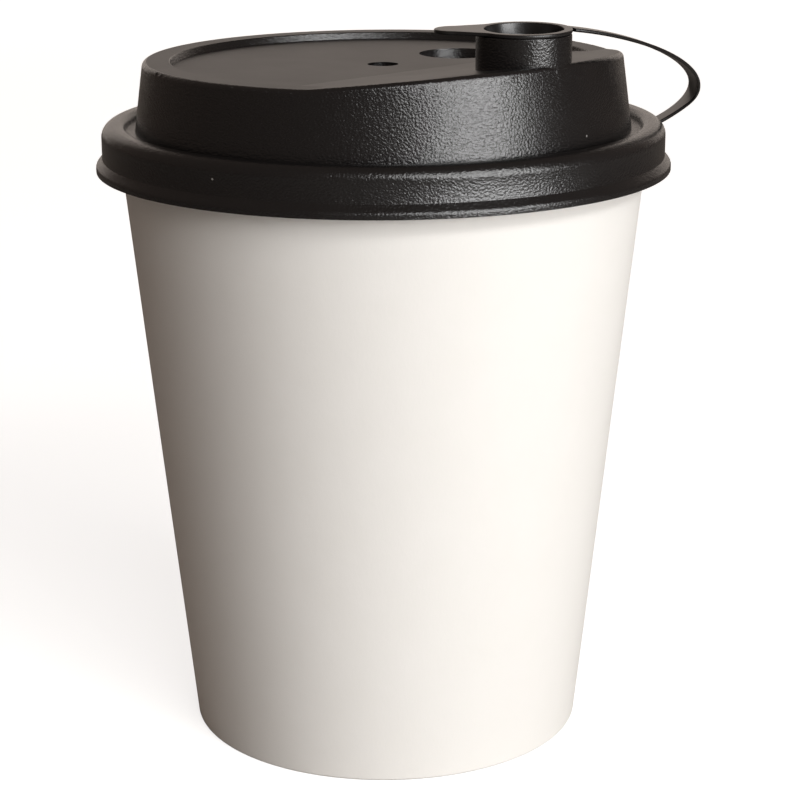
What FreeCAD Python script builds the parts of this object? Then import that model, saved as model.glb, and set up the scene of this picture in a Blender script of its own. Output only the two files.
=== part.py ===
import FreeCAD, Part
import math
import os

# A single-wall paper coffee cup with a moulded lid, its drinking spout and a tethered stopper.
# Millimetres. The origin is the centre of the base on the table, +Z is up, and +X runs through
# the drinking spout.

# Paper cup
cup_height = 91.2            # table to the top of the rolled rim
base_radius = 29.28          # outside of the side wall at the table
wall_flare = 0.1041          # how far the wall leans out for each millimetre of height
board = 0.4                  # thickness of the coated paper
glue_gap = 0.03              # glue line between two layers of paper
curl_radius = 1.0            # outside radius of the rolled rim
base_recess = 6.8            # table to the underside of the bottom disc
fold_reach = 5.8             # how high the turned-in edge of the wall reaches
fold_bend = 0.26             # bend radius of that fold, at the middle of the paper
disc_bend = 0.7              # bend radius between the bottom disc and its skirt
disc_skirt_clear = 0.24      # skirt's lower edge to the fold under it
lap_azimuth = 137.0          # where the side wall's glued lap lies
lap_clear = 0.8              # lap's free edge to the fold below it and to the curl above it

# Lid, moulded in one piece
lid_wall = 0.5               # wall thickness all over
rim_side_gap = 0.2           # skirt to the outside of the rolled rim
rim_top_gap = 0.1            # underside of the lid's ring to the top of the rolled rim
mouth_gap = 0.17             # lid's sealing lip to the inside of the cup
plug_depth = 2.0             # rolled rim's top to the lower edge of that lip
skirt_depth = 6.1            # rolled rim's top to the skirt's lower edge
flare_height = 1.8           # height of the flared edge under the skirt
flare_out = 0.9              # how far that edge flares out
flare_foot = 0.75            # upright stretch at its lower end
flare_bend = 0.6             # bends of the flare, at the middle of the wall: above its foot
flare_root_bend = 0.3        # and where it leaves the skirt
ring_round = 1.8             # outer rounding of the ring that covers the rim
channel_round = 1.0          # rounding where the ring turns down into the channel inside it
channel_depth = 1.1          # ring's top to the floor of that channel
channel_width = 1.38         # clear width of the channel at its floor
dome_height = 9.5            # cup's rim to the flat edge of the dome
dome_draft = 0.135           # how far the dome's wall leans in for each millimetre of height
dome_round = 0.8             # rounding of the dome's top edge
edge_width = 3.97            # flat edge around the recessed top
recess_depth = 1.0           # flat edge to the recessed top plate
recess_lean = 0.35           # how far the recess's wall leans in on its way down
recess_round = 0.2           # rounding of the edge round the recess
ramp_start = 8.2             # where the plate starts to rise towards the spout, along X
ramp_slope = 0.117           # its rise for each millimetre along X
gate_radius = 2.25           # dimple at the moulding gate, in the lid's centre
gate_depth = 0.7
vent_radius = 0.3            # air hole, at the edge of the plate
vent_azimuth = 69.0
vent_edge = 0.6              # air hole's axis to the foot of the recess's wall

# Spout and stopper
spout_inset = 6.87           # dome's top edge to the axis of the spout
bore_radius = 5.95           # inside of the spout, and of the socket that parks the stopper
spout_wall = 0.6
spout_rise = 15.2            # cup's rim to the spout's mouth
lip_round = 0.2              # rounding of the spout's mouth and of the socket's mouth
socket_azimuth = 92.7
socket_distance = 16.4       # lid's centre to the socket's axis
socket_depth = 4.7           # below the recessed plate
stopper_wall = 0.45
stopper_gap = 0.06           # plug to bore, all round
stopper_length = 4.9         # flange's underside to the plug's lower end
stopper_taper = 0.25         # how much slimmer the plug is at its lower end
stopper_neck = 1.0           # straight stretch of the plug under its flange
stopper_nose = 1.0           # and at its lower end
nose_round = 0.8             # rounding of the plug's lower end
stopper_lean = 1.7           # degrees, because the stopper is pushed in further at one side
stopper_low_side = -43.0     # azimuth of that side
flange_overhang = 0.05       # flange to the outside of the spout
flange_thickness = 0.5
flange_round = 0.12          # softened edges of the flange and the tab
tab_azimuth = 226.2          # lift tab
tab_reach = 12.2             # stopper's axis to the tab's tip
tab_tip_radius = 2.6
tab_half_width = 4.3         # where the tab leaves the flange

# Strap that ties the stopper to the lid
strap_width = 3.6
strap_thickness = 0.5
strap_root_azimuth = 53.6    # round the lid's skirt
strap_root_drop = 0.9        # cup's rim down to the strap's root
strap_root_climb = 25.9      # degrees above level at which it leaves the skirt
strap_root_pull = 15.7       # how far that direction carries it
strap_leave_azimuth = 62.5   # round the stopper's flange
strap_leave_heading = 71.3   # direction in which it leaves the flange
strap_leave_fall = 6.5       # degrees below level
strap_leave_pull = 13.0      # how far that direction carries it
strap_joint_gap = 0.02       # strap's ends to the flange and to the skirt
strap_sections = 11

# Worked out from the sizes above
z_axis = FreeCAD.Vector(0, 0, 1)
centre = FreeCAD.Vector(0, 0, 0)
layer_step = board + glue_gap
curl_centre_z = cup_height - curl_radius
rim_radius = base_radius - board + wall_flare * curl_centre_z + 2 * curl_radius
skirt_inside = rim_radius + rim_side_gap
ring_top = cup_height + rim_top_gap + lid_wall
skirt_edge = cup_height - skirt_depth
channel_floor = ring_top - channel_depth
lip_low = cup_height - plug_depth
plug_wall_outside = base_radius - board + wall_flare * lip_low - mouth_gap
dome_foot_radius = plug_wall_outside - lid_wall - channel_width
edge_top = cup_height + dome_height
plate_top = edge_top - recess_depth
dome_top_radius = dome_foot_radius - dome_draft * (edge_top - channel_floor)
plate_radius = dome_top_radius - edge_width - recess_lean
spout_x = dome_top_radius - spout_inset
spout_mouth = cup_height + spout_rise
spout_radius = bore_radius + spout_wall
flange_radius = spout_radius + flange_overhang
reach_past = 2 * dome_foot_radius      # cutting tools run this far, well past the lid
above_all = spout_mouth + reach_past
shortest_run = board / 4000            # an outline leaves out straight runs shorter than this


def polar(distance, azimuth, height=0.0):
    angle = math.radians(azimuth)
    return FreeCAD.Vector(distance * math.cos(angle), distance * math.sin(angle), height)


def ramp_height(x):
    """Height of the lid's rising top at a place along X."""
    return plate_top + ramp_slope * (x - ramp_start)


def rounded_side(points, bends, offset):
    """One side of a wall of even thickness, as edges in the XZ plane.

    points are the corners of the wall's middle line as (radius, height), bends the middle
    line's bend radius at each inner corner, and offset the distance to the side, to the left
    of the way the points run.
    """
    corners = [FreeCAD.Vector(radius, 0, height) for radius, height in points]
    runs = [(b - a).normalize() for a, b in zip(corners, corners[1:])]
    lefts = [FreeCAD.Vector(-run.z, 0, run.x) for run in runs]
    stops = [corners[0] + lefts[0] * offset]
    edges = []
    for index, bend in enumerate(bends):
        corner = corners[index + 1]
        run_in, run_out = runs[index], runs[index + 1]
        left_in, left_out = lefts[index], lefts[index + 1]
        half_turn = run_in.getAngle(run_out) / 2
        middle = (left_in + left_out).normalize()
        if bend == 0:
            stops.append(corner + middle * (offset / math.cos(half_turn)))
            continue
        side = 1 if run_in.cross(run_out).y < 0 else -1
        reach = bend * math.tan(half_turn)
        turn_centre = corner + middle * (side * bend / math.cos(half_turn))
        arc_start = corner - run_in * reach + left_in * offset
        arc_end = corner + run_out * reach + left_out * offset
        arc_middle = turn_centre + middle * (offset - side * bend)
        stops.append(arc_start)
        edges += straight_runs(stops)
        edges.append(Part.Arc(arc_start, arc_middle, arc_end).toShape())
        stops = [arc_end]
    stops.append(corners[-1] + lefts[-1] * offset)
    return edges + straight_runs(stops)


def straight_runs(stops):
    """Straight edges through the points, leaving out any of no length."""
    pairs = [(a, b) for a, b in zip(stops, stops[1:]) if (b - a).Length > shortest_run]
    return [Part.LineSegment(a, b).toShape() for a, b in pairs]


def turned(edges):
    """The solid that a closed outline in the XZ plane sweeps round the cup's axis."""
    section = Part.Face(Part.Wire(Part.__sortEdges__(edges)))
    return section.revolve(centre, z_axis, 360)


def revolved_wall(points, bends, thickness):
    """A wall of even thickness, bent in section and turned about the cup's axis."""
    left = rounded_side(points, bends, thickness / 2)
    right = rounded_side(points, bends, -thickness / 2)
    starts = [left[0].Vertexes[0].Point, right[0].Vertexes[0].Point]
    ends = [left[-1].Vertexes[-1].Point, right[-1].Vertexes[-1].Point]
    return turned(left + right + straight_runs(starts) + straight_runs(ends))


def filled_turning(side, bottom):
    """The solid inside one side of a turned wall, closed to the axis at its top and bottom."""
    first = side[0].Vertexes[0].Point
    last = side[-1].Vertexes[-1].Point
    closing = [last, FreeCAD.Vector(0, 0, last.z), FreeCAD.Vector(0, 0, bottom),
               FreeCAD.Vector(first.x, 0, bottom), first]
    return turned(side + straight_runs(closing))


def post(axis, radius, bottom, top):
    return Part.makeCylinder(radius, top - bottom, FreeCAD.Vector(axis.x, axis.y, bottom))


def block_above_ramp(lift):
    """Everything above the rising part of the lid's top, moved up by lift."""
    low, high = ramp_height(-reach_past) + lift, ramp_height(reach_past) + lift
    top = above_all + reach_past
    corners = [(-reach_past, low), (reach_past, high), (reach_past, top), (-reach_past, top)]
    outline = Part.makePolygon([FreeCAD.Vector(x, -reach_past, z) for x, z in corners + corners[:1]])
    return Part.Face(outline).extrude(FreeCAD.Vector(0, 2 * reach_past, 0))


def block_above(height):
    corner = FreeCAD.Vector(-reach_past, -reach_past, height)
    return Part.makeBox(2 * reach_past, 2 * reach_past, above_all, corner)


def cup_sidewall():
    """The wrapped wall, folded in round the base, rolled out at the rim and glued at one lap."""
    foot = base_radius - board / 2
    inner = foot - 2 * layer_step
    neck = foot + wall_flare * (curl_centre_z - board / 2)
    curl = curl_radius - board / 2
    fold_top = inner + wall_flare * fold_reach
    turn_low = board / 2
    points = [
        (fold_top, fold_reach), (inner + wall_flare * turn_low, turn_low),
        (foot + wall_flare * turn_low, turn_low), (neck, curl_centre_z),
        (neck, curl_centre_z + curl), (neck + 2 * curl, curl_centre_z + curl),
        (neck + 2 * curl, curl_centre_z - curl), (neck + curl, curl_centre_z - curl),
    ]
    wall = revolved_wall(points, [fold_bend, fold_bend, 0, curl, curl, curl], board)
    return wall.fuse(lap_ridge()).removeSplitter()


def lap_ridge():
    """The free edge of the overlapping paper, a flat that rises out of the round wall."""
    outlines = []
    for height in (board + lap_clear, curl_centre_z - curl_radius - lap_clear):
        outside = base_radius + wall_flare * height
        buried = outside - board / 2
        free_edge = outside + board
        edge_angle = math.degrees(math.acos(buried / free_edge))
        outlines.append(Part.makePolygon([
            polar(buried, lap_azimuth, height), polar(free_edge, lap_azimuth + edge_angle, height),
            polar(buried, lap_azimuth + edge_angle, height), polar(buried, lap_azimuth, height),
        ]))
    return Part.makeLoft(outlines, True, True)


def cup_bottom():
    """The bottom disc, with its skirt turned down between the wall and the folded-in edge."""
    skirt = base_radius - board / 2 - layer_step
    disc_height = base_recess + board / 2
    skirt_low = board + disc_skirt_clear
    points = [
        (0, disc_height), (skirt + wall_flare * disc_height, disc_height),
        (skirt + wall_flare * skirt_low, skirt_low),
    ]
    return revolved_wall(points, [disc_bend], board)


def lid_side(offset):
    """One side of the lid's turned wall: flare, skirt, ring, channel and the dome's wall."""
    half = lid_wall / 2
    skirt = skirt_inside + half
    flare = skirt + flare_out
    plug_wall = plug_wall_outside - half
    foot = dome_foot_radius - half
    floor = channel_floor - half
    dome_run = above_all - floor
    points = [
        (flare, skirt_edge), (flare, skirt_edge + flare_foot), (skirt, skirt_edge + flare_height),
        (skirt, ring_top - half), (plug_wall, ring_top - half), (plug_wall, floor),
        (foot, floor), (foot - dome_draft * dome_run, above_all),
    ]
    bends = [flare_bend, flare_root_bend, ring_round - half, channel_round - half, 0, 0]
    return rounded_side(points, bends, offset)


def sealing_lip():
    """The ring under the channel that plugs the cup's mouth."""
    top = channel_floor - lid_wall / 2
    outside = post(centre, plug_wall_outside, lip_low, top)
    return outside.cut(post(centre, plug_wall_outside - lid_wall, lip_low, top))


def recess_block(thickness):
    """The recess in the lid's top as a cutting block, or its lining of that thickness."""
    floor = plate_top - thickness
    foot = plate_radius + thickness
    edge = foot + recess_lean + recess_round
    points = [(0, floor), (foot, floor), (foot + recess_lean, edge_top), (edge, edge_top), (edge, above_all),
              (0, above_all), (0, floor)]
    corners = [FreeCAD.Vector(radius, 0, height) for radius, height in points]
    wall_run = (corners[2] - corners[1]).normalize()
    tangent = recess_round * math.tan(wall_run.getAngle(FreeCAD.Vector(1, 0, 0)) / 2)
    arc_start = corners[2] - wall_run * tangent
    arc_end = corners[2] + FreeCAD.Vector(tangent, 0, 0)
    arc_centre = arc_end - FreeCAD.Vector(0, 0, recess_round)
    arc_middle = arc_centre + ((arc_start + arc_end) / 2 - arc_centre).normalize() * recess_round
    arc = Part.Arc(arc_start, arc_middle, arc_end).toShape()
    below = straight_runs([corners[0], corners[1], arc_start])
    return turned(below + [arc] + straight_runs([arc_end] + corners[4:]))


def lid():
    """The whole lid: a turned shell whose top has a recess, a ramp, a spout and a socket."""
    spout_axis = polar(spout_x, 0)
    socket_axis = polar(socket_distance, socket_azimuth)
    vent_axis = polar(plate_radius - vent_edge, vent_azimuth)

    outside = filled_turning(lid_side(-lid_wall / 2), skirt_edge)
    ramp = block_above_ramp(0)
    outside = outside.cut(block_above(edge_top).common(ramp))
    outside = round_top_edge(outside)
    outside = outside.cut(recess_block(0).common(ramp))
    outside = outside.fuse(post(spout_axis, spout_radius, channel_floor, spout_mouth))
    outside = outside.cut(post(socket_axis, bore_radius, plate_top - socket_depth, above_all))
    outside = outside.cut(post(centre, gate_radius, plate_top - gate_depth, above_all))

    inside = filled_turning(lid_side(lid_wall / 2), skirt_edge - lid_wall)
    ramp_inside = block_above_ramp(-lid_wall)
    inside = inside.cut(block_above(edge_top - lid_wall).common(ramp_inside))
    inside = inside.cut(recess_block(lid_wall).common(ramp_inside))
    socket_floor = plate_top - socket_depth - lid_wall
    inside = inside.cut(post(socket_axis, bore_radius + lid_wall, socket_floor, above_all))
    gate_floor = plate_top - gate_depth - lid_wall
    inside = inside.cut(post(centre, gate_radius + lid_wall, gate_floor, above_all))

    shell = outside.cut(inside).fuse(sealing_lip())
    shell = shell.cut(post(spout_axis, bore_radius, channel_floor, above_all))
    shell = shell.cut(post(vent_axis, vent_radius, channel_floor, above_all))
    return round_lips(shell.removeSplitter())


def round_top_edge(body):
    """Rounds the edge where the dome's wall meets its flat edge and the ramp."""
    def on_top_edge(edge):
        middle = edge.valueAt((edge.FirstParameter + edge.LastParameter) / 2)
        dome_radius = dome_foot_radius - dome_draft * (middle.z - channel_floor)
        distance = math.hypot(middle.x, middle.y)
        return middle.z > edge_top - lid_wall / 2 and abs(distance - dome_radius) < lid_wall / 2
    return body.makeFillet(dome_round, [edge for edge in body.Edges if on_top_edge(edge)])


def round_lips(body):
    """Rounds the spout's mouth inside and out."""
    mouth = [edge for edge in body.Edges if edge.BoundBox.ZMin > spout_mouth - lip_round]
    return body.makeFillet(lip_round, mouth)


def stopper():
    """The hollow plug with its flange and lift tab, leaning a little in the spout."""
    half = stopper_wall / 2
    lean_room = math.tan(math.radians(stopper_lean)) * stopper_length
    neck = bore_radius - stopper_gap - half
    tip = neck - stopper_taper - lean_room
    bottom = spout_mouth - stopper_length
    points = [
        (neck, spout_mouth + flange_thickness), (neck, spout_mouth - stopper_neck),
        (tip, bottom + stopper_nose), (tip, bottom + half), (0, bottom + half),
    ]
    plug = revolved_wall(points, [0, 0, nose_round - half], stopper_wall)
    hollow = post(centre, neck - half, spout_mouth - stopper_neck, above_all)
    flange = post(centre, flange_radius, spout_mouth, spout_mouth + flange_thickness)
    top_plate = flange.fuse(lift_tab()).removeSplitter()
    rims = [edge for edge in top_plate.Edges if edge.BoundBox.ZLength < flange_thickness / 2]
    top_plate = top_plate.makeFillet(flange_round, rims).cut(hollow)
    whole = plug.fuse(top_plate).removeSplitter()
    whole.translate(FreeCAD.Vector(spout_x, 0, 0))
    low_edge = FreeCAD.Vector(spout_x, 0, spout_mouth) + polar(spout_radius, stopper_low_side)
    whole.rotate(low_edge, polar(1, stopper_low_side + 90), stopper_lean)
    return whole


def lift_tab():
    """A tongue that narrows from the flange to a round tip."""
    tip_centre = tab_reach - tab_tip_radius
    root_x = math.sqrt(flange_radius ** 2 - tab_half_width ** 2)
    corners = [
        FreeCAD.Vector(0, -tab_half_width, 0), FreeCAD.Vector(root_x, -tab_half_width, 0),
        FreeCAD.Vector(tip_centre, -tab_tip_radius, 0),
        FreeCAD.Vector(tip_centre, tab_tip_radius, 0), FreeCAD.Vector(root_x, tab_half_width, 0),
        FreeCAD.Vector(0, tab_half_width, 0),
    ]
    tip = Part.Arc(corners[2], FreeCAD.Vector(tab_reach, 0, 0), corners[3]).toShape()
    edges = straight_runs(corners[:3]) + [tip] + straight_runs(corners[3:] + corners[:1])
    tab = Part.Face(Part.Wire(edges)).extrude(FreeCAD.Vector(0, 0, flange_thickness))
    tab.translate(FreeCAD.Vector(0, 0, spout_mouth))
    tab.rotate(centre, z_axis, tab_azimuth)
    return tab


def heading(azimuth, climb):
    """Unit direction with the given azimuth, and so many degrees above level."""
    level = math.cos(math.radians(climb))
    return polar(level, azimuth, math.sin(math.radians(climb)))


def strap():
    """The flat band that loops from the stopper's flange out and down to the lid's skirt."""
    lean_lift = math.sin(math.radians(stopper_lean)) * spout_radius
    start = polar(spout_x, 0) + polar(flange_radius - strap_thickness, strap_leave_azimuth)
    start.z = spout_mouth + lean_lift + flange_thickness / 2
    root = polar(skirt_inside, strap_root_azimuth, cup_height - strap_root_drop)
    middle_line = Part.BezierCurve()
    middle_line.setPoles([
        start, start + heading(strap_leave_heading, -strap_leave_fall) * strap_leave_pull,
        root + heading(strap_root_azimuth, strap_root_climb) * strap_root_pull, root,
    ])
    sections = []
    for index in range(strap_sections):
        share = index / (strap_sections - 1)
        point = middle_line.value(share)
        along = FreeCAD.Vector(*middle_line.tangent(share)[0])
        twist = strap_leave_azimuth + (strap_root_azimuth - strap_leave_azimuth) * share
        across = polar(1, twist + 90)
        across = (across - along * across.dot(along)).normalize() * (strap_width / 2)
        up = across.cross(along).normalize() * (strap_thickness / 2)
        corners = [point + across + up, point - across + up, point - across - up, point + across - up]
        sections.append(Part.makePolygon(corners + corners[:1]))
    band = Part.makeLoft(sections, True, False)
    flange = post(polar(spout_x, 0), flange_radius + strap_joint_gap, skirt_edge, above_all)
    skirt = filled_turning(lid_side(-lid_wall / 2 - strap_joint_gap), skirt_edge)
    return band.cut(flange).cut(skirt.cut(block_above(ring_top)))


nodes = {
    "cup_sidewall": cup_sidewall,
    "cup_bottom": cup_bottom,
    "lid": lid,
    "stopper": stopper,
    "stopper_strap": strap,
}

os.makedirs("parts", exist_ok=True)
for name, make in nodes.items():
    shape = make()
    shape.exportStep(os.path.join("parts", name + ".step"))
    box = shape.BoundBox
    print(name, "valid", shape.isValid(), "solids", len(shape.Solids), "volume %.1f mm3" % shape.Volume,
          "box %.2f %.2f %.2f to %.2f %.2f %.2f" % (box.XMin, box.YMin, box.ZMin, box.XMax, box.YMax, box.ZMax))
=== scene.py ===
import bpy
import bmesh
import math
import numpy as np
from mathutils import Matrix, Vector


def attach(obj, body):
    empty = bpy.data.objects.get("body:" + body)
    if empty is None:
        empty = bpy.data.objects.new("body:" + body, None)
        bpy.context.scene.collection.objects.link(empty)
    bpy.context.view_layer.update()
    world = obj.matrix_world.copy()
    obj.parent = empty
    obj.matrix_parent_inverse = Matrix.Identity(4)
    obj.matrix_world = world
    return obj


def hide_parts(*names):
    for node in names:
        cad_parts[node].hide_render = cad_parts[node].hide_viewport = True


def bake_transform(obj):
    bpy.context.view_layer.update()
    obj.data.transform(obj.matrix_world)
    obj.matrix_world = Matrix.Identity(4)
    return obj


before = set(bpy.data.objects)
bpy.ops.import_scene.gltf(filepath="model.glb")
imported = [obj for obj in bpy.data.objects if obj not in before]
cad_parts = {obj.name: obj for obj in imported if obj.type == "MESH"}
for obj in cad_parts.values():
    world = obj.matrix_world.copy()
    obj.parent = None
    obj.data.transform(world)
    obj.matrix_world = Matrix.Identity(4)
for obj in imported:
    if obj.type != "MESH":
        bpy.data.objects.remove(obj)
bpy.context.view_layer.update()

mm = 0.001               # scene units are metres, sizes below are millimetres
print("frame loaded:", sorted(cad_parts))


# Shared helpers

def fromHex(code):
    # sRGB hex to the linear colour that a shader takes
    parts = [int(code[i:i + 2], 16) / 255 for i in (1, 3, 5)]
    return [v / 12.92 if v <= 0.04045 else ((v + 0.055) / 1.055) ** 2.4 for v in parts] + [1.0]


def addNode(tree, kind, settings=None, links=None):
    # settings name a property or an input socket, links feed an input from another node's output
    node = tree.nodes.new(kind)
    for name, value in (settings or {}).items():
        if isinstance(name, int) or name in node.inputs:
            node.inputs[name].default_value = value
        else:
            setattr(node, name, value)
    for name, source in (links or {}).items():
        tree.links.new(source, node.inputs[name])
    return node


def newMaterial(name):
    made = bpy.data.materials.new(name)
    made.use_nodes = True
    made.node_tree.nodes.clear()
    return made, made.node_tree


def perMetre(sizeMm):
    # noise scales count features in a metre
    return 1000.0 / sizeMm


def polar(distance, degrees, height=0.0):
    turn = np.radians(degrees)
    return np.array([distance * np.cos(turn), distance * np.sin(turn), height])


def gridMesh(name, points, closeU, closeV):
    # points[u, v, xyz] in mm; quads join neighbours, and a closed way joins its last row to its first
    rows, columns = points.shape[:2]
    index = np.arange(rows * columns).reshape(rows, columns)
    u = np.arange(rows if closeU else rows - 1)
    v = np.arange(columns if closeV else columns - 1)
    uu, vv = np.meshgrid(u, v, indexing="ij")
    u2, v2 = (uu + 1) % rows, (vv + 1) % columns
    quads = np.stack([index[uu, vv], index[u2, vv], index[u2, v2], index[uu, v2]], -1).reshape(-1, 4)
    mesh = bpy.data.meshes.new(name)
    mesh.from_pydata((points.reshape(-1, 3) * mm).tolist(), [], quads.tolist())
    made = bpy.data.objects.new(name, mesh)
    bpy.context.collection.objects.link(made)
    return made


def tidyMesh(piece, weldMm=0.001, threeCornered=False):
    # joins doubled points, drops faces of no area, and turns every face outwards
    work = bmesh.new()
    work.from_mesh(piece.data)
    bmesh.ops.remove_doubles(work, verts=work.verts, dist=weldMm * mm)
    bmesh.ops.dissolve_degenerate(work, edges=work.edges, dist=weldMm * mm)
    bmesh.ops.recalc_face_normals(work, faces=work.faces)
    if threeCornered:
        bmesh.ops.triangulate(work, faces=work.faces)
    work.to_mesh(piece.data)
    work.free()
    return piece


def shadeSmooth(piece, sharpDegrees):
    mesh = piece.data
    mesh.polygons.foreach_set("use_smooth", np.ones(len(mesh.polygons), bool))
    mesh.set_sharp_from_angle(angle=math.radians(sharpDegrees))
    evening = piece.modifiers.new("faceWeights", "WEIGHTED_NORMAL")
    evening.keep_sharp = True
    return piece


def weldedCopy(node, name):
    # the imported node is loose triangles; its copy is joined up, so that it can shade smoothly
    made = bpy.data.objects.new(name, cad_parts[node].data.copy())
    made.data.materials.clear()
    bpy.context.collection.objects.link(made)
    return tidyMesh(made, weldMm=0.0005, threeCornered=True)


def faceArrays(piece):
    # middle and normal of every face, as two arrays of rows x, y, z
    faces = piece.data.polygons
    middle, normal = np.zeros(len(faces) * 3), np.zeros(len(faces) * 3)
    faces.foreach_get("center", middle)
    faces.foreach_get("normal", normal)
    return middle.reshape(-1, 3), normal.reshape(-1, 3)


def secondMaterial(piece, material, chosen):
    # the chosen faces take the material, and the others keep the piece's first
    piece.data.materials.append(material)
    piece.data.polygons.foreach_set("material_index", chosen.astype(np.int32))


def sliced(outline, step):
    # each side of a closed outline is cut evenly, into at least two runs of no more than one step
    following = np.roll(outline, -1, 0)
    runs = np.maximum(2, (np.linalg.norm(following - outline, axis=1) / step).astype(int) + 1)
    sides = [np.linspace(start, end, count, endpoint=False)
             for start, end, count in zip(outline, following, runs)]
    return np.concatenate(sides)


def turnedBody(name, outline, steps, ripple=None):
    # the closed outline (radius, height) is carried round the z axis: x = r cos a, y = r sin a
    angle = np.linspace(0, 2 * np.pi, steps, endpoint=False)[:, None]
    radius = outline[None, :, 0] + np.zeros((steps, 1))
    height = outline[None, :, 1] + np.zeros((steps, 1))
    if ripple is not None:
        radius = radius + ripple(angle, outline)
    points = np.stack([radius * np.cos(angle), radius * np.sin(angle), height], -1)
    return gridMesh(name, points, True, True)


def bentWall(corners, bends, thickness, arcSteps=10):
    # a wall of even thickness as a closed outline: each corner of its middle line is rounded with its
    # bend radius, and both sides are the middle line moved half the thickness along its normal
    corners = np.array(corners, float)
    runs = np.diff(corners, axis=0)
    runs /= np.linalg.norm(runs, axis=1)[:, None]
    lefts = np.stack([-runs[:, 1], runs[:, 0]], -1)
    line, normals = [corners[0]], [lefts[0]]
    for i, bend in enumerate(bends):
        corner, runIn, runOut = corners[i + 1], runs[i], runs[i + 1]
        turn = np.arccos(np.clip(runIn @ runOut, -1, 1))
        side = np.sign(runIn[0] * runOut[1] - runIn[1] * runOut[0])
        reach = bend * np.tan(turn / 2)
        middle = corner - runIn * reach + lefts[i] * side * bend
        sweep = np.linspace(0, turn, arcSteps if bend else 2) * side
        c, s = np.cos(sweep)[:, None], np.sin(sweep)[:, None]
        arm = -lefts[i] * side * bend
        line += list(middle + arm * c + np.array([-arm[1], arm[0]]) * s)
        normals += list(lefts[i] * c + np.array([-lefts[i][1], lefts[i][0]]) * s)
    line = np.array(line + [corners[-1]])
    normals = np.array(normals + [lefts[-1]])
    return np.concatenate([line + normals * thickness / 2, (line - normals * thickness / 2)[::-1]])


def dress(piece, material, body, node):
    piece.data.materials.append(material)
    if body:
        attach(piece, body)
    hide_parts(node)
    return piece


# Materials: pattern sizes and bump depths in mm

board = {
    "dark": "#F7F5F0", "light": "#FAF8F4", "cloud": 7.0, "wave": 3.2, "waveDepth": 0.03,
    "fibre": 0.45, "fibreDepth": 0.016, "fibreAlong": 0.45,
}
film = {"dark": "#F6F4EF", "light": "#FAF9F5", "wave": 2.6, "waveDepth": 0.03}
plastic = {
    "dark": "#100F10", "light": "#151414", "flow": 9.0, "roughnessSpread": 0.03,
    "grained": {"grain": 0.3, "depth": 0.075, "roughness": 0.25},
    "satin": {"grain": 0.5, "depth": 0.012, "roughness": 0.3},
    "top": {"grain": 0.5, "depth": 0.016, "roughness": 0.42},
    # dust: radius, azimuth and height of its place on the lid, and its size across
    "dust": [(40.97, -76.65, 89.2, 0.42), (35.84, 7.4, 92.76, 0.4)], "dustColour": "#8E8B88",
}


def uncoatedCupboard(s):
    # bleached cup board, calendered but uncoated outside: matt and warm white, with a faint cloudy
    # formation, and short fibres along the cup that only show where light grazes them
    made, tree = newMaterial("uncoatedCupboard")
    place = addNode(tree, "ShaderNodeTexCoord").outputs["Object"]
    clouds = addNode(tree, "ShaderNodeTexNoise",
                     {"Scale": perMetre(s["cloud"]), "Detail": 3.0, "Roughness": 0.6}, {"Vector": place})
    tone = addNode(tree, "ShaderNodeMix",
                   {"data_type": "RGBA", 6: fromHex(s["dark"]), 7: fromHex(s["light"])},
                   {0: clouds.outputs["Fac"]})
    along = addNode(tree, "ShaderNodeMapping", {"Scale": (1.0, 1.0, s["fibreAlong"])}, {"Vector": place})
    fibres = addNode(tree, "ShaderNodeTexNoise",
                     {"Scale": perMetre(s["fibre"]), "Detail": 4.0, "Roughness": 0.65},
                     {"Vector": along.outputs[0]})
    waves = addNode(tree, "ShaderNodeTexNoise", {"Scale": perMetre(s["wave"]), "Detail": 2.0},
                    {"Vector": place})
    coarse = addNode(tree, "ShaderNodeBump", {"Strength": 1.0, "Distance": s["waveDepth"] * mm},
                     {"Height": waves.outputs["Fac"]})
    fine = addNode(tree, "ShaderNodeBump", {"Strength": 1.0, "Distance": s["fibreDepth"] * mm},
                   {"Height": fibres.outputs["Fac"], "Normal": coarse.outputs[0]})
    shader = addNode(tree, "ShaderNodeBsdfPrincipled",
                     {"Roughness": 0.78, "IOR": 1.5, "Specular IOR Level": 0.35},
                     {"Base Color": tone.outputs[2], "Normal": fine.outputs[0]})
    addNode(tree, "ShaderNodeOutputMaterial", None, {"Surface": shader.outputs[0]})
    return made


def coatedCupboard(s):
    # the same board under a thin polyethylene film, as inside the cup: whiter, with a soft sheen
    made, tree = newMaterial("coatedCupboard")
    place = addNode(tree, "ShaderNodeTexCoord").outputs["Object"]
    waves = addNode(tree, "ShaderNodeTexNoise", {"Scale": perMetre(s["wave"]), "Detail": 3.0},
                    {"Vector": place})
    rise = addNode(tree, "ShaderNodeBump", {"Strength": 1.0, "Distance": s["waveDepth"] * mm},
                   {"Height": waves.outputs["Fac"]})
    tone = addNode(tree, "ShaderNodeMix",
                   {"data_type": "RGBA", 6: fromHex(s["dark"]), 7: fromHex(s["light"])},
                   {0: waves.outputs["Fac"]})
    shader = addNode(tree, "ShaderNodeBsdfPrincipled", {"Roughness": 0.36, "IOR": 1.5},
                     {"Base Color": tone.outputs[2], "Normal": rise.outputs[0]})
    addNode(tree, "ShaderNodeOutputMaterial", None, {"Surface": shader.outputs[0]})
    return made


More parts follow.
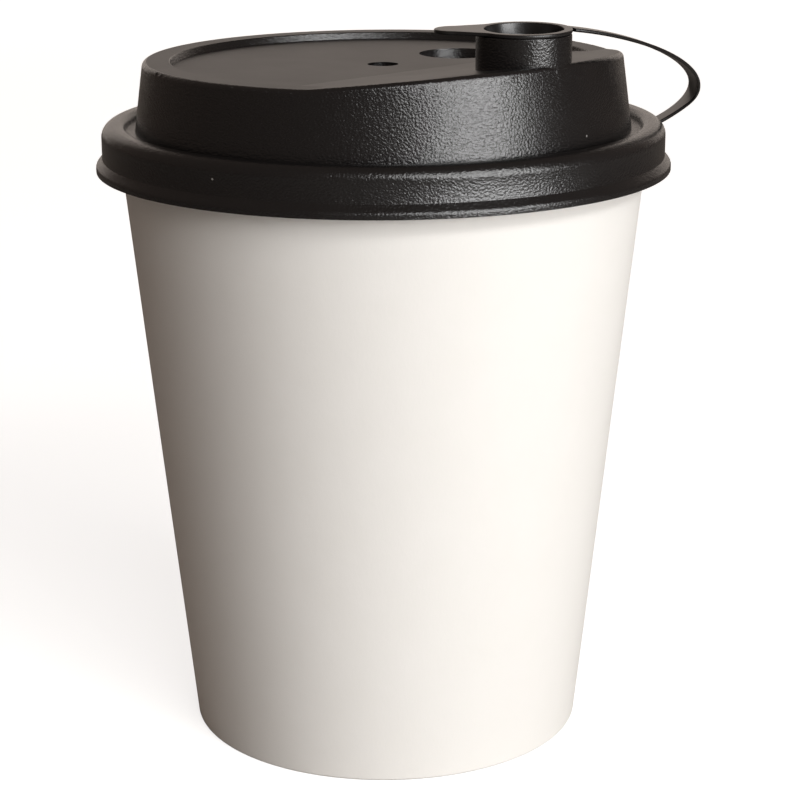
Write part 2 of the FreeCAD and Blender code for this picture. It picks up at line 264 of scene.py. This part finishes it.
def blackPolypropylene(name, finish, dust=()):
    # carbon-black polypropylene from a spark-eroded mould: a fine even grain that breaks highlights into
    # sparkle, drawn a little coarser than the real 0.15 mm grain, so that it shows; the top is smoother
    made, tree = newMaterial(name)
    place = addNode(tree, "ShaderNodeTexCoord").outputs["Object"]
    grain = addNode(tree, "ShaderNodeTexNoise",
                    {"Scale": perMetre(finish["grain"]), "Detail": 1.5, "Roughness": 0.5}, {"Vector": place})
    flow = addNode(tree, "ShaderNodeTexNoise", {"Scale": perMetre(plastic["flow"]), "Detail": 2.0},
                   {"Vector": place})
    rise = addNode(tree, "ShaderNodeBump", {"Strength": 1.0, "Distance": finish["depth"] * mm},
                   {"Height": grain.outputs["Fac"]})
    shiny = finish["roughness"] - plastic["roughnessSpread"]
    dull = finish["roughness"] + plastic["roughnessSpread"]
    gloss = addNode(tree, "ShaderNodeMapRange", {"To Min": shiny, "To Max": dull},
                    {"Value": flow.outputs["Fac"]})
    tone = addNode(tree, "ShaderNodeMix",
                   {"data_type": "RGBA", 6: fromHex(plastic["dark"]), 7: fromHex(plastic["light"])},
                   {0: flow.outputs["Fac"]})
    colour = tone.outputs[2]
    for radius, azimuth, height, size in dust:
        speck = polar(radius, azimuth, height) * mm
        rim, core = size * mm / 2, size * mm / 4
        away = addNode(tree, "ShaderNodeVectorMath", {"operation": "DISTANCE", 1: speck}, {0: place})
        there = addNode(tree, "ShaderNodeMapRange",
                        {"interpolation_type": "SMOOTHSTEP", "From Min": rim, "From Max": core},
                        {"Value": away.outputs["Value"]})
        colour = addNode(tree, "ShaderNodeMix", {"data_type": "RGBA", 7: fromHex(plastic["dustColour"])},
                         {0: there.outputs[0], 6: colour}).outputs[2]
    shader = addNode(tree, "ShaderNodeBsdfPrincipled", {"IOR": 1.5, "Specular IOR Level": 0.72},
                     {"Base Color": colour, "Roughness": gloss.outputs[0], "Normal": rise.outputs[0]})
    addNode(tree, "ShaderNodeOutputMaterial", None, {"Surface": shader.outputs[0]})
    return made


paperOutside = uncoatedCupboard(board)
paperInside = coatedCupboard(film)
grainedPlastic = blackPolypropylene("grainedPolypropylene", plastic["grained"], dust=plastic["dust"])
satinPlastic = blackPolypropylene("satinPolypropylene", plastic["satin"])
lidTopPlastic = blackPolypropylene("lidTopPolypropylene", plastic["top"])
print("materials made")


# Paper cup: the wrapped wall with its fold, rolled rim and glued lap, and the bottom disc

cupWall = {
    "height": 91.2, "baseRadius": 29.28, "flare": 0.1041, "board": 0.4, "glue": 0.03,
    "curlRadius": 1.0, "foldReach": 5.8, "foldBend": 0.26,
    "baseRecess": 6.8, "discBend": 0.7, "discSkirtClear": 0.24,
    "lapAzimuth": 137.0, "lapWidth": 7.0, "outsideSlack": 0.12,
    "waveDepth": 0.03, "waveCount": 3, "waveTwist": 0.05,
    "filmFrom": 6.6, "filmTo": 90.5, "filmInward": 0.5, "filmUpward": 0.9,
    "steps": 360, "discSteps": 180, "rowStep": 4.0, "sharpDegrees": 40,
}


def makeCupWall(s):
    # outline of the wall in section, then a radius that steps out over the glued lap
    thick, flare = s["board"], s["flare"]
    foot = s["baseRadius"] - thick / 2
    inner = foot - 2 * (thick + s["glue"])
    centreZ = s["height"] - s["curlRadius"]
    curl = s["curlRadius"] - thick / 2
    neck = foot + flare * (centreZ - thick / 2)
    low = thick / 2
    corners = [
        (inner + flare * s["foldReach"], s["foldReach"]), (inner + flare * low, low),
        (foot + flare * low, low), (neck, centreZ), (neck, centreZ + curl), (neck + 2 * curl, centreZ + curl),
        (neck + 2 * curl, centreZ - curl), (neck + curl, centreZ - curl),
    ]
    outline = bentWall(corners, [s["foldBend"], s["foldBend"], 0, curl, curl, curl], thick)

    def lapAndWaves(angle, outline):
        # over the lap the outside rises to one board's thickness and drops back at its free edge; slow
        # waves, sine round the cup times sine up it, keep the paper from looking turned
        height = outline[None, :, 1]
        outside = np.isclose(outline[None, :, 0], s["baseRadius"] + flare * height, atol=s["outsideSlack"])
        body = outside & (height > 2 * thick) & (height < centreZ - 2 * s["curlRadius"])
        turn = np.degrees(angle) - s["lapAzimuth"]
        turn = (turn + 180) % 360 - 180
        width = np.degrees(s["lapWidth"] / s["baseRadius"])
        ridge = thick * np.clip(turn / width, 0, 1) ** 2 * (turn <= width)
        around = np.sin(s["waveCount"] * angle + s["waveTwist"] * height)
        wave = s["waveDepth"] * around * np.sin(np.pi * np.clip(height / s["height"], 0, 1))
        return np.where(body, ridge, 0.0) + wave

    return turnedBody("cupWallPaper", sliced(outline, s["rowStep"]), s["steps"], lapAndWaves)


def makeCupBase(s):
    # the disc with its skirt turned down, as a closed outline that starts and ends on the axis
    skirt = s["baseRadius"] - s["board"] / 2 - s["board"] - s["glue"]
    disc = s["baseRecess"] + s["board"] / 2
    low = s["board"] + s["discSkirtClear"]
    corners = [(0, disc), (skirt + s["flare"] * disc, disc), (skirt + s["flare"] * low, low)]
    return turnedBody("cupBasePaper", bentWall(corners, [s["discBend"]], s["board"]), s["discSteps"])


def coatInside(piece, coating, s):
    # faces of the wall or disc that look to the cup's axis, or up from its bottom, carry the film
    middle, normal = faceArrays(piece)
    radius = np.maximum(np.linalg.norm(middle[:, :2], axis=1), 1e-12)
    outward = (middle[:, :2] * normal[:, :2]).sum(1) / radius
    within = (middle[:, 2] > s["filmFrom"] * mm) & (middle[:, 2] < s["filmTo"] * mm)
    secondMaterial(piece, coating, within & ((outward < -s["filmInward"]) | (normal[:, 2] > s["filmUpward"])))


paperWall = shadeSmooth(tidyMesh(makeCupWall(cupWall)), cupWall["sharpDegrees"])
paperBase = shadeSmooth(tidyMesh(makeCupBase(cupWall)), cupWall["sharpDegrees"])
dress(paperWall, paperOutside, "cup", "cup_sidewall")
dress(paperBase, paperOutside, "cup", "cup_bottom")
coatInside(paperWall, paperInside, cupWall)
coatInside(paperBase, paperInside, cupWall)
print("paper cup made")


# Lid: the solid's own form, with normals set from the surfaces that it is made of

lidShape = {
    "spout": (27.9, 0.0), "socket": tuple(polar(16.4, 92.7)[:2]), "bossReach": 7.2, "rampSlope": 0.117,
    "plateTop": 99.7, "socketRadius": 5.95, "socketDraft": 0.14, "socketSlack": 0.03,
    "top": 99.0, "topFacing": 0.97,
    # how far a face may be from a turned wall's or a flat face's direction, as sine or cosine
    "roundTo": 0.05, "turnedTo": 0.9998, "flatTo": 0.99995,
    "sharpDegrees": 32, "ringStep": 0.03, "tiltStep": 40.0,
}


def draftSocket(piece, s):
    # the socket narrows downwards as a moulded seat does, so its wall faces up a little: each corner
    # moves in towards the socket's axis by the draft times its depth
    mesh = piece.data
    places = np.zeros(len(mesh.vertices) * 3)
    mesh.vertices.foreach_get("co", places)
    places = places.reshape(-1, 3)
    arm = places[:, :2] - np.array(s["socket"]) * mm
    reach = np.linalg.norm(arm, axis=1)
    depth = s["plateTop"] * mm - places[:, 2]
    wall = (np.abs(reach - s["socketRadius"] * mm) < s["socketSlack"] * mm) & (depth > 0)
    share = 1 - s["socketDraft"] * depth[wall] / reach[wall]
    places[wall, :2] = np.array(s["socket"]) * mm + arm[wall] * share[:, None]
    mesh.vertices.foreach_set("co", places.ravel())
    mesh.update()
    return piece


def cornerNormals(vertex, flat, corners, sharpDegrees):
    # each corner takes the mean of the faces round its vertex that lie within the sharp angle of its own
    # face, weighted by their area and by their angle at the vertex
    sides = np.roll(corners, -1, 1) - corners
    area = np.linalg.norm(np.cross(sides[:, 0], sides[:, 1]), axis=1)
    ways = sides / np.maximum(np.linalg.norm(sides, axis=2), 1e-12)[:, :, None]
    angle = np.arccos(np.clip((-ways * np.roll(ways, 1, 1)).sum(2), -1, 1))
    weight = (area[:, None] * angle).ravel()
    around = np.bincount(vertex)
    first = np.cumsum(around) - around
    order = np.argsort(vertex, kind="stable")
    own = np.repeat(np.arange(len(vertex)), around[vertex])
    begin = np.cumsum(around[vertex]) - around[vertex]
    other = order[first[vertex[own]] + np.arange(len(own)) - begin[own]]
    near = (flat[own] * flat[other]).sum(1) > math.cos(math.radians(sharpDegrees))
    own, other = own[near], other[near]
    share = flat[other] * weight[other][:, None]
    total = np.stack([np.bincount(own, share[:, k], len(vertex)) for k in range(3)], -1)
    return total / np.maximum(np.linalg.norm(total, axis=1), 1e-30)[:, None]


def trueNormals(piece, s):
    # a corner on a turned wall gets a normal straight out from that wall's axis at the corner itself, and
    # a corner of a flat face gets the face's own, so that long thin triangles leave no streaks
    mesh = piece.data
    vertex = np.zeros(len(mesh.loops), int)
    mesh.loops.foreach_get("vertex_index", vertex)
    places = np.zeros(len(mesh.vertices) * 3)
    mesh.vertices.foreach_get("co", places)
    places = places.reshape(-1, 3)[vertex]
    corners = places.reshape(-1, 3, 3)
    flat = np.repeat(faceArrays(piece)[1], 3, 0)
    middles = np.repeat(corners.mean(1), 3, 0)
    normals = cornerNormals(vertex, flat, corners, s["sharpDegrees"])
    for axis, within in (((0.0, 0.0), math.inf), (s["spout"], s["bossReach"]), (s["socket"], s["bossReach"])):
        out = middles[:, :2] - np.array(axis) * mm
        reach = np.linalg.norm(out, axis=1)
        aside = np.stack([-out[:, 1], out[:, 0]], -1) / reach[:, None]
        straight = np.abs((flat[:, :2] * aside).sum(1)) < s["roundTo"]
        turned = (reach < within * mm) & straight & (np.abs(flat[:, 2]) < s["turnedTo"])
        arm = (places[:, :2] - np.array(axis) * mm)[turned]
        radius = np.linalg.norm(arm, axis=1)
        arm /= np.maximum(radius, 1e-9)[:, None]
        level = np.linalg.norm(normals[turned, :2], axis=1) * np.sign((flat[turned, :2] * arm).sum(1))
        rise = normals[turned, 2]
        # corners at one radius and height share one tilt, apart from those across a sharp edge
        tilt = np.round(np.degrees(np.arctan2(rise, level)) / s["tiltStep"])
        step = s["ringStep"] * mm
        ring = np.stack([np.round(radius / step), np.round(places[turned, 2] / step), tilt], -1)
        group = np.unique(ring, axis=0, return_inverse=True)[1].ravel()
        number = np.bincount(group)
        level, rise = ((np.bincount(group, value) / number)[group] for value in (level, rise))
        normals[turned] = np.concatenate([arm * level[:, None], rise[:, None]], 1)
    ramp = np.array([-s["rampSlope"], 0, 1]) / math.hypot(1, s["rampSlope"])
    for plane in (np.array([0, 0, 1.0]), ramp):
        lies = np.abs(flat @ plane) > s["flatTo"]
        normals[lies] = flat[lies]
    normals /= np.linalg.norm(normals, axis=1)[:, None]
    mesh.polygons.foreach_set("use_smooth", np.ones(len(mesh.polygons), bool))
    mesh.normals_split_custom_set(normals.tolist())
    return piece


lidShell = draftSocket(weldedCopy("lid", "lidShell"), lidShape)
trueNormals(lidShell, lidShape)
dress(lidShell, grainedPlastic, "lid", "lid")
middle, normal = faceArrays(lidShell)
onTop = (normal[:, 2] > lidShape["topFacing"]) & (middle[:, 2] > lidShape["top"] * mm)
secondMaterial(lidShell, lidTopPlastic, onTop)
print("lid dressed")


# Stopper: a hollow plug with a flange and a lift tab, leaning a little in the spout

stopperShape = {
    "spoutX": 27.9, "mouth": 106.4, "bore": 5.95, "spoutWall": 0.6, "gap": 0.06, "wall": 0.45, "length": 4.9,
    "taper": 0.25, "neck": 1.0, "nose": 1.0, "noseRound": 0.8, "lean": 1.7, "lowSide": -43.0,
    "overhang": 0.05, "thick": 0.5, "edgeRound": 0.14, "mouthRound": 0.12, "coreDraft": 0.14,
    "tabAzimuth": 226.2, "tabReach": 12.2, "tabTip": 2.6, "tabHalf": 4.3, "tabBlend": 0.35, "tabSpread": 1.2,
    "steps": 384, "rows": 8, "roundSteps": 6, "sharpDegrees": 50,
}
spoutRadius = stopperShape["bore"] + stopperShape["spoutWall"]
flangeRadius = spoutRadius + stopperShape["overhang"]
hair = 1e-6              # mm, keeps rounding from deciding on points at one height


def flangeReach(angle, s):
    # distance from the plug's axis to the flange's edge: a circle, joined softly to a tongue that has
    # straight sides and a round tip; a ray meets the tip's circle or a side, whichever it points at
    tipX = s["tabReach"] - s["tabTip"]
    rootX = math.sqrt(flangeRadius ** 2 - s["tabHalf"] ** 2)
    off = np.abs((np.degrees(angle) - s["tabAzimuth"] + 180) % 360 - 180)
    off = np.radians(off)
    tip = tipX * np.cos(off) + np.sqrt(np.maximum(s["tabTip"] ** 2 - (tipX * np.sin(off)) ** 2, 0))
    alongX, alongY = tipX - rootX, s["tabTip"] - s["tabHalf"]
    side = (rootX * alongY - s["tabHalf"] * alongX) / (np.cos(off) * alongY - np.sin(off) * alongX)
    tab = np.where(off < math.atan2(s["tabTip"], tipX), tip, np.where(off < s["tabSpread"], side, 0))
    # the soft maximum of the two reaches rounds the inner corners between them
    gap = np.clip((tab - flangeRadius) / s["tabBlend"], -1, 1)
    return np.maximum(tab, flangeRadius) + s["tabBlend"] * (1 - np.abs(gap)) ** 2 / 4


def leaned(points, s):
    # turns points by a about the level line k under the flange's low side:
    # v cos a + (k x v) sin a + k (k.v)(1 - cos a)
    pivot = np.array([s["spoutX"], 0, s["mouth"]]) + polar(spoutRadius, s["lowSide"])
    axis = polar(1, s["lowSide"] + 90)
    turn = math.radians(s["lean"])
    v = points - pivot
    along = axis * (v @ axis)[..., None]
    return pivot + v * math.cos(turn) + np.cross(axis, v) * math.sin(turn) + along * (1 - math.cos(turn))


def makeStopper(s):
    # one closed section from the axis under the plug, up its outside, over the flange and down inside;
    # points of the flange move out with its edge, in proportion to their place between plug and edge
    half = s["wall"] / 2
    neck = s["bore"] - s["gap"] - half
    tip = neck - s["taper"] - math.tan(math.radians(s["lean"])) * s["length"]
    mouth = s["mouth"]
    bottom = mouth - s["length"]
    top = mouth + s["thick"]
    corners = [
        (neck, top), (neck, mouth - s["neck"]), (tip, bottom + s["nose"]),
        (tip, bottom + half), (0, bottom + half),
    ]
    wall = bentWall(corners, [0, 0, s["noseRound"] - half], s["wall"])
    outside = wall[:len(wall) // 2][::-1]
    inside = wall[len(wall) // 2:][::-1]
    inside[:, 0] *= 1 - s["coreDraft"] * (top - inside[:, 1]) / (neck - half)
    quarter = np.linspace(0, np.pi / 2, s["roundSteps"])
    c, n = np.cos(quarter), np.sin(quarter)
    edge, lip = s["edgeRound"], s["mouthRound"]
    lowEdge = np.stack([flangeRadius - edge + edge * n, mouth + edge - edge * c], -1)
    highEdge = np.stack([flangeRadius - edge + edge * c, top - edge + edge * n], -1)
    innerEdge = np.stack([neck - half + lip - lip * n, top - lip + lip * c], -1)
    rows = s["rows"]
    outwards = np.linspace(neck + half, lowEdge[0, 0], rows, endpoint=False)
    inwards = np.linspace(highEdge[-1, 0], innerEdge[0, 0], rows + 2)[1:-1]
    underside = np.stack([outwards, np.full(rows, mouth)], -1)
    face = np.stack([inwards, np.full(rows, top)], -1)
    outside = outside[outside[:, 1] < mouth - hair]
    inside = inside[inside[:, 1] < top - lip - hair]
    section = np.concatenate([outside, underside, lowEdge, highEdge, face, innerEdge, inside])
    radius, height = section.T
    onFlange = (height > mouth - hair) & (radius > neck + half - hair)
    span = flangeRadius - edge - neck - half
    share = np.where(onFlange, np.clip((radius - neck - half) / span, 0, 1), 0)
    angle = np.linspace(0, 2 * np.pi, s["steps"], endpoint=False)[:, None]
    reach = radius + share * (flangeReach(angle, s) - flangeRadius)
    points = np.stack([s["spoutX"] + reach * np.cos(angle), reach * np.sin(angle), height + 0 * reach], -1)
    return gridMesh("stopperShell", leaned(points, s), True, False)


stopperShell = shadeSmooth(tidyMesh(makeStopper(stopperShape)), stopperShape["sharpDegrees"])
dress(stopperShell, satinPlastic, "stopper", "stopper")
print("stopper made")


# Strap: a flat band on one cubic curve from the flange down to the lid's skirt

strapShape = {
    "width": 3.6, "thick": 0.5, "round": 0.2, "rootAzimuth": 53.6, "rootRadius": 40.47, "rootHeight": 90.3,
    "rootClimb": 25.9, "rootPull": 15.7, "leaveAzimuth": 62.5, "leaveHeading": 71.3, "leaveFall": 6.5,
    "leavePull": 13.0, "startRadius": 6.6, "skirtRadius": 40.97, "seat": 0.02,
    "steps": 160, "trialSteps": 4001, "roundSteps": 5, "sharpDegrees": 50,
}


def strapLine(s, share):
    # cubic Bezier: (1-t)^3 a + 3t(1-t)^2 b + 3t^2(1-t) c + t^3 d, and its slope for the direction along it
    lift = math.sin(math.radians(stopperShape["lean"])) * spoutRadius
    leaveHeight = stopperShape["mouth"] + lift + stopperShape["thick"] / 2
    plug = np.array([stopperShape["spoutX"], 0, 0])
    a = plug + polar(flangeRadius - s["thick"], s["leaveAzimuth"], leaveHeight)
    d = polar(s["rootRadius"], s["rootAzimuth"], s["rootHeight"])
    fall, climb = math.radians(s["leaveFall"]), math.radians(s["rootClimb"])
    b = a + s["leavePull"] * polar(math.cos(fall), s["leaveHeading"], -math.sin(fall))
    c = d + s["rootPull"] * polar(math.cos(climb), s["rootAzimuth"], math.sin(climb))
    t = share[:, None]
    line = (1 - t) ** 3 * a + 3 * t * (1 - t) ** 2 * b + 3 * t ** 2 * (1 - t) * c + t ** 3 * d
    slope = 3 * (1 - t) ** 2 * (b - a) + 6 * t * (1 - t) * (c - b) + 3 * t ** 2 * (d - c)
    return line, slope / np.linalg.norm(slope, axis=1)[:, None]


def makeStrap(s):
    # the band keeps only the stretch outside the flange and the skirt; its section is a rectangle with
    # rounded edges, set across the curve, and turns evenly from the flange's side to the skirt's
    trial = np.linspace(0, 1, s["trialSteps"])
    line = strapLine(s, trial)[0]
    clear = np.linalg.norm(line[:, :2] - [stopperShape["spoutX"], 0], axis=1) > flangeRadius - s["seat"]
    sunk = (trial > 0.5) & (np.linalg.norm(line[:, :2], axis=1) < s["skirtRadius"] - s["seat"])
    kept = trial[clear & ~sunk]
    share = np.linspace(kept[0], kept[-1], s["steps"])
    line, along = strapLine(s, share)
    twist = np.radians(s["leaveAzimuth"] + (s["rootAzimuth"] - s["leaveAzimuth"]) * share + 90)
    across = np.stack([np.cos(twist), np.sin(twist), 0 * twist], -1)
    across -= along * (across * along).sum(1)[:, None]
    across /= np.linalg.norm(across, axis=1)[:, None]
    up = np.cross(across, along)
    halfWide, halfThick, r = s["width"] / 2 - s["round"], s["thick"] / 2 - s["round"], s["round"]
    quarter = np.linspace(0, np.pi / 2, s["roundSteps"])
    centres = [(halfWide, halfThick), (-halfWide, halfThick), (-halfWide, -halfThick), (halfWide, -halfThick)]
    arcs = [np.stack([x + r * np.cos(np.pi / 2 * k + quarter), y + r * np.sin(np.pi / 2 * k + quarter)], -1)
            for k, (x, y) in enumerate(centres)]
    ring = np.concatenate(arcs)
    body = line[:, None] + ring[None, :, :1] * across[:, None] + ring[None, :, 1:] * up[:, None]
    ends = np.repeat(line[[0, -1], None], len(ring), 1)
    return gridMesh("strapBand", np.concatenate([ends[:1], body, ends[1:]]), False, True)


strapBand = shadeSmooth(tidyMesh(makeStrap(strapShape)), strapShape["sharpDegrees"])
dress(strapBand, satinPlastic, None, "stopper_strap")
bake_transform(strapBand)
print("strap made")


# Studio: distances and heights in metres, directions in degrees to the right of the camera

studio = {
    "floorReach": 4.0, "floorSeen": "#F2F1EF", "floorLift": 0.74, "floorBounce": "#9F9A95", "aimHeight": 0.06,
    "key": {"distance": 0.95, "right": 43.0, "height": 0.21, "size": (0.66, 0.26), "power": 5.4},
    "front": {"distance": 1.3, "right": 16.0, "height": 0.75, "size": (0.5, 0.5), "power": 4.9},
    "high": {"distance": 1.1, "right": 42.0, "height": 0.75, "size": (0.52, 0.2), "power": 4.0},
    "back": {"distance": 1.2, "right": 178.0, "height": 0.33, "size": (1.6, 0.68), "power": 2.05,
             "colour": "#FFF3E9"},
    "ambient": "#776A62", "ambientStrength": 0.7,
}
view = {
    "azimuth": -43.26, "distance": 0.325214, "height": 0.142515, "pitch": 16.0853, "yaw": -0.2007,
    "roll": -0.3453, "sensor": 36.0,
    "focalPixels": 2236.58, "framePixels": 800.0, "axisPixel": (377.07, 401.68),
}


def addLamp(name, s):
    # a softbox, aimed at the middle of the cup
    turn = math.radians(view["azimuth"] + s["right"])
    lamp = bpy.data.objects.new(name, bpy.data.lights.new(name, "AREA"))
    lamp.data.shape = "RECTANGLE"
    lamp.data.size, lamp.data.size_y = s["size"]
    lamp.data.energy = s["power"]
    lamp.data.color = fromHex(s.get("colour", "#FFFFFF"))[:3]
    lamp.location = (s["distance"] * math.cos(turn), s["distance"] * math.sin(turn), s["height"])
    aim = Vector((0, 0, studio["aimHeight"])) - lamp.location
    lamp.rotation_mode = "QUATERNION"
    lamp.rotation_quaternion = aim.to_track_quat("-Z", "Y")
    bpy.context.collection.objects.link(lamp)
    return lamp


addLamp("keySoftbox", studio["key"])
addLamp("frontPanel", studio["front"])
addLamp("highStrip", studio["high"])
addLamp("backPanel", studio["back"])

# white floor: the camera sees it lifted to white, with the cup's shadow on it; what bounces off it onto
# the cup is only as bright as a grey table
floorMaterial, tree = newMaterial("studioFloor")
path = addNode(tree, "ShaderNodeLightPath")
bounce = addNode(tree, "ShaderNodeBsdfDiffuse", {"Color": fromHex(studio["floorBounce"])})
seen = addNode(tree, "ShaderNodeBsdfDiffuse", {"Color": fromHex(studio["floorSeen"])})
lift = addNode(tree, "ShaderNodeEmission", {"Color": (1, 1, 1, 1), "Strength": studio["floorLift"]})
both = addNode(tree, "ShaderNodeAddShader", None, {0: seen.outputs[0], 1: lift.outputs[0]})
pick = addNode(tree, "ShaderNodeMixShader", None,
               {0: path.outputs["Is Camera Ray"], 1: bounce.outputs[0], 2: both.outputs[0]})
addNode(tree, "ShaderNodeOutputMaterial", None, {"Surface": pick.outputs[0]})
reach = studio["floorReach"]
floorCorners = [(-reach, -reach, 0), (reach, -reach, 0), (reach, reach, 0), (-reach, reach, 0)]
floorMesh = bpy.data.meshes.new("studioFloor")
floorMesh.from_pydata(floorCorners, [], [(0, 1, 2, 3)])
floor = bpy.data.objects.new("studioFloor", floorMesh)
floorMesh.materials.append(floorMaterial)
bpy.context.collection.objects.link(floor)

# the world fills in with a dim warm grey, and the camera sees it white
world = bpy.data.worlds.new("studioWorld")
bpy.context.scene.world = world
world.use_nodes = True
tree = world.node_tree
tree.nodes.clear()
path = addNode(tree, "ShaderNodeLightPath")
ambient = addNode(tree, "ShaderNodeBackground",
                  {"Color": fromHex(studio["ambient"]), "Strength": studio["ambientStrength"]})
white = addNode(tree, "ShaderNodeBackground", {"Color": (1, 1, 1, 1), "Strength": 1.0})
pick = addNode(tree, "ShaderNodeMixShader", None,
               {0: path.outputs["Is Camera Ray"], 1: ambient.outputs[0], 2: white.outputs[0]})
addNode(tree, "ShaderNodeOutputWorld", None, {"Surface": pick.outputs[0]})

# camera as fitted to the outlines of the cup and lid; the photograph's middle lies a little off its axis
cameraData = bpy.data.cameras.new("photoCamera")
cameraData.sensor_width = view["sensor"]
cameraData.lens = view["focalPixels"] / view["framePixels"] * view["sensor"]
cameraData.shift_x = 0.5 - view["axisPixel"][0] / view["framePixels"]
cameraData.shift_y = view["axisPixel"][1] / view["framePixels"] - 0.5
camera = bpy.data.objects.new("photoCamera", cameraData)
turn = math.radians(view["azimuth"])
stand = (view["distance"] * math.cos(turn), view["distance"] * math.sin(turn), view["height"])
heading = Matrix.Rotation(math.radians(view["azimuth"] + 180 - view["yaw"] - 90), 4, "Z")
tip = Matrix.Rotation(math.radians(90 - view["pitch"]), 4, "X")
roll = Matrix.Rotation(math.radians(view["roll"]), 4, "Z")
camera.matrix_world = Matrix.Translation(stand) @ heading @ tip @ roll
bpy.context.collection.objects.link(camera)
bpy.context.scene.camera = camera
bpy.context.scene.view_settings.view_transform = "Standard"
print("studio made")

bpy.context.view_layer.update()
